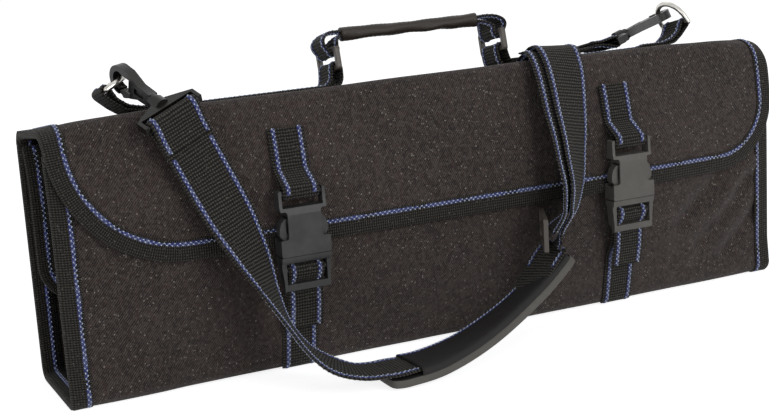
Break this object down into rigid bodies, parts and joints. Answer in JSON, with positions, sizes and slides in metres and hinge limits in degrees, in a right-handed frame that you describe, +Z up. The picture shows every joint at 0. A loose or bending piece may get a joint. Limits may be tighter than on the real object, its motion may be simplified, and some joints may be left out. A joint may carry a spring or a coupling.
{
  "type": "knife case",
  "caption": "Long hard-sided roll case for chef's knives, with a hinged flap lid, side-release buckles, a ringed carry handle and a hooked, padded shoulder strap.",
  "frame": {"origin": "centre of the case's base, on the ground it stands on", "axes": "+X along the case's length to the right, -Y towards the front with the buckles, +Z up"},
  "size_m": [0.5114, 0.1585, 0.2038],
  "materials": {
    "case_fabric": "matt woven twill with fine light specks",
    "lining": "matt smooth nylon",
    "elastic": "matt ribbed elastic",
    "binding": "matt ribbed tape with blue stitching",
    "webbing": "ribbed webbing with blue zigzag stitching",
    "dark_buckle": "satin moulded plastic",
    "grey_buckle": "satin moulded plastic, catching the light",
    "ring_metal": "bright nickel plate",
    "ring_plastic": "satin moulded plastic",
    "hook_plastic": "satin moulded plastic",
    "gate_plastic": "satin moulded plastic",
    "grip": "soft tube, dull sheen",
    "pad": "dull moulded rubber with a paler edge"
  },
  "bodies": {
    "case": {"back_panel": "case_fabric", "back_binding": "binding", "bottom_panel": "case_fabric", "pocket_panel": "lining", "elastic_band": "elastic", "front_panel": "case_fabric", "front_binding": "binding", "front_pocket": "lining", "lower_webbing_left": "webbing", "lower_webbing_right": "webbing", "plug_left": "dark_buckle", "plug_right": "grey_buckle"},
    "leaf": {"inner_leaf": "case_fabric", "leaf_binding": "binding"},
    "lid": {"top_panel": "case_fabric", "top_binding": "binding", "anchor_left": "webbing", "anchor_right": "webbing", "handle_tab_left": "webbing", "handle_tab_right": "webbing", "flap_panel": "case_fabric", "flap_binding": "binding", "upper_webbing_left": "webbing", "upper_webbing_right": "webbing", "socket_left": "dark_buckle", "socket_right": "grey_buckle", "strap_loop_left": "webbing", "strap_front": "webbing", "strap_main": "webbing", "strap_return": "webbing", "strap_fold": "webbing", "strap_loop_right": "webbing"},
    "handle_ring_left": {"handle_ring_left": "ring_plastic"},
    "handle_ring_right": {"handle_ring_right": "ring_plastic"},
    "handle": {"handle_webbing_left": "webbing", "handle_webbing_right": "webbing", "handle_grip": "grip"},
    "dring_left": {"dring_left": "ring_metal"},
    "hook_left": {"hook_left": "hook_plastic"},
    "gate_left": {"gate_left": "gate_plastic"},
    "swivel_left": {"swivel_left": "hook_plastic"},
    "arm_left_a": {"arm_left_a": "dark_buckle"},
    "arm_left_b": {"arm_left_b": "dark_buckle"},
    "dring_right": {"dring_right": "ring_metal"},
    "hook_right": {"hook_right": "hook_plastic"},
    "gate_right": {"gate_right": "gate_plastic"},
    "swivel_right": {"swivel_right": "hook_plastic"},
    "arm_right_a": {"arm_right_a": "grey_buckle"},
    "arm_right_b": {"arm_right_b": "grey_buckle"},
    "shoulder_pad": {"shoulder_pad": "pad"},
    "strap_slider": {"strap_slider": "ring_plastic"}
  },
  "joints": [
    {"name": "lid_hinge", "type": "hinge", "parent": "case", "child": "lid", "pos_m": [0, 0.03789, 0.15598], "axis": [-1, 0, 0], "range_deg": [0, 165], "deforming": ["strap_loop_left", "strap_front", "strap_main", "strap_return", "strap_fold", "strap_loop_right"]},
    {"name": "leaf_hinge", "type": "hinge", "parent": "case", "child": "leaf", "pos_m": [0, 0.0314, 0.14917], "axis": [-1, 0, 0], "range_deg": [0, 18]},
    {"name": "handle_ring_left_hinge", "type": "hinge", "parent": "lid", "child": "handle_ring_left", "pos_m": [-0.06, 0.00282, 0.17696], "axis": [0, 0.972, -0.2351], "range_deg": [-22, 22]},
    {"name": "handle_ring_right_hinge", "type": "hinge", "parent": "lid", "child": "handle_ring_right", "pos_m": [0.06, 0.00282, 0.17696], "axis": [0, 0.972, -0.2351], "range_deg": [-22, 22]},
    {"name": "handle_hinge", "type": "hinge", "parent": "handle_ring_left", "child": "handle", "pos_m": [-0.06, 0.0055, 0.18804], "axis": [0, 0.972, -0.2351], "range_deg": [-22, 22]},
    {"name": "dring_left_hinge", "type": "hinge", "parent": "lid", "child": "dring_left", "pos_m": [-0.209, 0.00343, 0.17947], "axis": [0, 0.972, -0.2351], "range_deg": [-5, 1]},
    {"name": "hook_left_swing", "type": "hinge", "parent": "dring_left", "child": "hook_left", "pos_m": [-0.19798, -0.00617, 0.18782], "axis": [-0.9447, -0.3031, -0.1251], "range_deg": [-1, 3]},
    {"name": "gate_left_hinge", "type": "hinge", "parent": "hook_left", "child": "gate_left", "pos_m": [-0.19429, -0.01343, 0.17752], "axis": [0.9447, 0.3031, 0.1251], "range_deg": [0, 12], "stiffness_Nm_per_rad": 0.02, "springref_deg": -5.73},
    {"name": "swivel_left_turn", "type": "hinge", "parent": "hook_left", "child": "swivel_left", "pos_m": [-0.19798, -0.00617, 0.18782], "axis": [0.3278, -0.8681, -0.3728], "range_deg": [-8, 8]},
    {"name": "arm_left_a_hinge", "type": "hinge", "parent": "case", "child": "arm_left_a", "pos_m": [-0.103, -0.05932, 0.0783], "axis": [0, -1, 0], "range_deg": [0, 6], "stiffness_Nm_per_rad": 0.05, "springref_deg": -5.73, "deforming": ["arm_left_a"]},
    {"name": "arm_left_b_hinge", "type": "hinge", "parent": "case", "child": "arm_left_b", "pos_m": [-0.12, -0.05932, 0.0783], "axis": [0, 1, 0], "range_deg": [0, 6], "stiffness_Nm_per_rad": 0.05, "springref_deg": -5.73, "deforming": ["arm_left_b"]},
    {"name": "dring_right_hinge", "type": "hinge", "parent": "lid", "child": "dring_right", "pos_m": [0.209, 0.00343, 0.17947], "axis": [0, 0.972, -0.2351], "range_deg": [-1, 6]},
    {"name": "hook_right_swing", "type": "hinge", "parent": "dring_right", "child": "hook_right", "pos_m": [0.20458, 0.01804, 0.1845], "axis": [-0.2993, 0.2181, 0.9289], "range_deg": [-2, 2]},
    {"name": "gate_right_hinge", "type": "hinge", "parent": "hook_right", "child": "gate_right", "pos_m": [0.19396, 0.02406, 0.17966], "axis": [0.2993, -0.2181, -0.9289], "range_deg": [0, 12], "stiffness_Nm_per_rad": 0.02, "springref_deg": -5.73},
    {"name": "swivel_right_turn", "type": "hinge", "parent": "hook_right", "child": "swivel_right", "pos_m": [0.20458, 0.01804, 0.1845], "axis": [-0.9537, -0.0367, -0.2987], "range_deg": [-3, 6]},
    {"name": "arm_right_a_hinge", "type": "hinge", "parent": "case", "child": "arm_right_a", "pos_m": [0.132, -0.05932, 0.0783], "axis": [0, -1, 0], "range_deg": [0, 6], "stiffness_Nm_per_rad": 0.05, "springref_deg": -5.73, "deforming": ["arm_right_a"]},
    {"name": "arm_right_b_hinge", "type": "hinge", "parent": "case", "child": "arm_right_b", "pos_m": [0.115, -0.05932, 0.0783], "axis": [0, 1, 0], "range_deg": [0, 6], "stiffness_Nm_per_rad": 0.05, "springref_deg": -5.73, "deforming": ["arm_right_b"]},
    {"name": "shoulder_pad_slide", "type": "slide", "parent": "lid", "child": "shoulder_pad", "axis": [1, 0, 0], "range_m": [-0.008, 0.008]},
    {"name": "strap_slider_slide", "type": "slide", "parent": "lid", "child": "strap_slider", "axis": [0.4494, -0.3995, 0.799], "range_m": [-0.002, 0.003]}
  ],
  "couplings": [
    {"joint": "handle_ring_right_hinge", "follows": "handle_ring_left_hinge", "ratio": 1},
    {"joint": "handle_hinge", "follows": "handle_ring_left_hinge", "ratio": -1},
    {"joint": "arm_left_b_hinge", "follows": "arm_left_a_hinge", "ratio": 1},
    {"joint": "arm_right_b_hinge", "follows": "arm_right_a_hinge", "ratio": 1}
  ]
}
